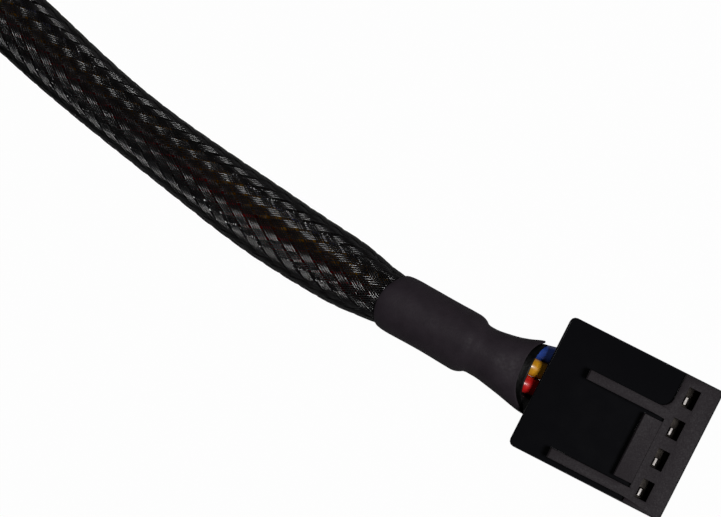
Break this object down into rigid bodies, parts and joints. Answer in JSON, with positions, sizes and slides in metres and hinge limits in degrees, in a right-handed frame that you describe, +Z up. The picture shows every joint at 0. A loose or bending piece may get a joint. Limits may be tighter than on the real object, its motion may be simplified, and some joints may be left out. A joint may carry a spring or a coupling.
{
  "type": "fan splitter cable",
  "caption": "Braided fan splitter cable: a flat, ribbed female plug, a heat-shrunk fork, and sleeved branches that end in male housings with lock tongues.",
  "frame": {"origin": "centre of the female plug housing's plain back, the face that it lies on", "axes": "+X the way the plug is pushed onto its header, away from the cable; +Y towards the blue wire's side; +Z up, from the plain back to the ribs"},
  "size_m": [0.1258, 0.0685, 0.0075],
  "materials": {
    "housing_plastic": "satin black, finely grained on the raised zones",
    "heat_shrink": "matte dark grey",
    "braid": "black monofilament braid, bright along each strand",
    "tinned_metal": "tin plated",
    "tie_plastic": "satin",
    "wire_black": "satin insulation",
    "wire_red": "satin insulation",
    "wire_yellow": "satin insulation",
    "wire_blue": "satin insulation"
  },
  "bodies": {
    "root": {"branch_a_heat_shrink": "heat_shrink", "branch_a_housing": "housing_plastic", "branch_a_pin_black": "tinned_metal", "branch_a_pin_blue": "tinned_metal", "branch_a_pin_red": "tinned_metal", "branch_a_pin_yellow": "tinned_metal", "branch_a_sleeve": "braid", "branch_a_wire_black": "wire_black", "branch_a_wire_blue": "wire_blue", "branch_a_wire_red": "wire_red", "branch_b_heat_shrink": "heat_shrink", "branch_b_housing": "housing_plastic", "branch_b_pin_black": "tinned_metal", "branch_b_pin_blue": "tinned_metal", "branch_b_pin_red": "tinned_metal", "branch_b_sleeve": "braid", "branch_b_wire_black": "wire_black", "branch_b_wire_blue": "wire_blue", "branch_b_wire_red": "wire_red", "coil_tie": "tie_plastic", "fork_heat_shrink": "heat_shrink", "plug_heat_shrink": "heat_shrink", "plug_housing": "housing_plastic", "plug_terminal_black": "tinned_metal", "plug_terminal_blue": "tinned_metal", "plug_terminal_red": "tinned_metal", "plug_terminal_yellow": "tinned_metal", "speed_wire_yellow": "wire_yellow", "splice_black": "tinned_metal", "splice_blue": "tinned_metal", "splice_red": "tinned_metal", "trunk_sleeve": "braid", "trunk_wire_black": "wire_black", "trunk_wire_blue": "wire_blue", "trunk_wire_red": "wire_red"}
  },
  "joints": []
}
